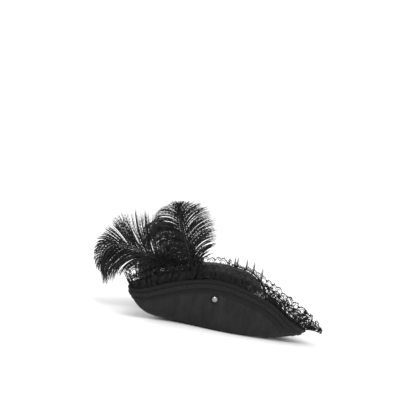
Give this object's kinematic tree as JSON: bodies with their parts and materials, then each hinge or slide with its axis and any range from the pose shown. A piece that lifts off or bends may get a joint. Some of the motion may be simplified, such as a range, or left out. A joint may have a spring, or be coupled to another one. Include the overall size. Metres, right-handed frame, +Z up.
{
  "type": "pirate hat",
  "caption": "Black felt tricorn with a lace-edged cocked brim, braided edge trim, dome studs, a winged cross ornament, a ribbon bow and lift-out ostrich plumes.",
  "frame": {"origin": "middle of the head opening, in the plane of the sweatband's lower edge", "axes": "+Z up through the crown, -Y towards the front point, -X towards the wearer's right, where the plumes are"},
  "size_m": [0.3606, 0.542, 0.2616],
  "materials": {
    "felt": "matte wool felt",
    "lining": "satin",
    "leather": "semi-matte",
    "ribbon": "ribbed ribbon, low sheen",
    "braid": "twisted rayon braid, soft sheen",
    "lace": "matte net lace",
    "gunmetal": "polished gunmetal",
    "jet": "glossy with silver highlights",
    "wire": "spring wire",
    "quill": "dyed horn",
    "plume": "dyed ostrich barbs"
  },
  "bodies": {
    "hat": {"crown": "felt", "crown_lining": "lining", "sweatband": "leather", "brim": "felt", "rim_binding": "ribbon", "rim_wire": "wire", "trim_ribbon": "ribbon", "gimp_braid": "braid", "lace_ruffle_left": "lace", "lace_ruffle_back": "lace", "lace_ruffle_right": "lace", "lace_applique_crown_left": "lace", "lace_applique_crown_right": "lace", "lace_applique_brim": "lace", "stud_cap_left": "gunmetal", "stud_washer_left": "gunmetal", "stud_post_left": "gunmetal", "stud_cap_back": "gunmetal", "stud_washer_back": "gunmetal", "stud_post_back": "gunmetal", "stud_cap_right": "gunmetal", "stud_washer_right": "gunmetal", "stud_post_right": "gunmetal", "ornament_bar": "jet", "ornament_finial": "jet", "thorn_left_1": "jet", "thorn_left_2": "jet", "thorn_left_3": "jet", "thorn_left_4": "jet", "thorn_left_5": "jet", "cross_wing_left": "jet", "thorn_right_1": "jet", "thorn_right_2": "jet", "thorn_right_3": "jet", "thorn_right_4": "jet", "thorn_right_5": "jet", "cross_wing_right": "jet", "cross_body": "jet", "cross_pendant": "jet", "pendant_drop": "jet", "bow_loop_left": "ribbon", "bow_loop_right": "ribbon", "bow_knot": "ribbon", "bow_tails": "ribbon", "plume_sleeve": "ribbon"},
    "plume_spray": {"plume_wrap": "ribbon", "plume_rear_quill": "quill", "plume_rear_vane_over": "plume", "plume_rear_vane_under": "plume", "plume_front_quill": "quill", "plume_front_vane_over": "plume", "plume_front_vane_under": "plume", "plume_middle_quill": "quill", "plume_middle_vane_over": "plume", "plume_middle_vane_under": "plume"}
  },
  "joints": [
    {"name": "plume_lift", "type": "slide", "parent": "hat", "child": "plume_spray", "axis": [0.1899, 0.5697, 0.7996], "range_m": [0, 0.12]}
  ]
}
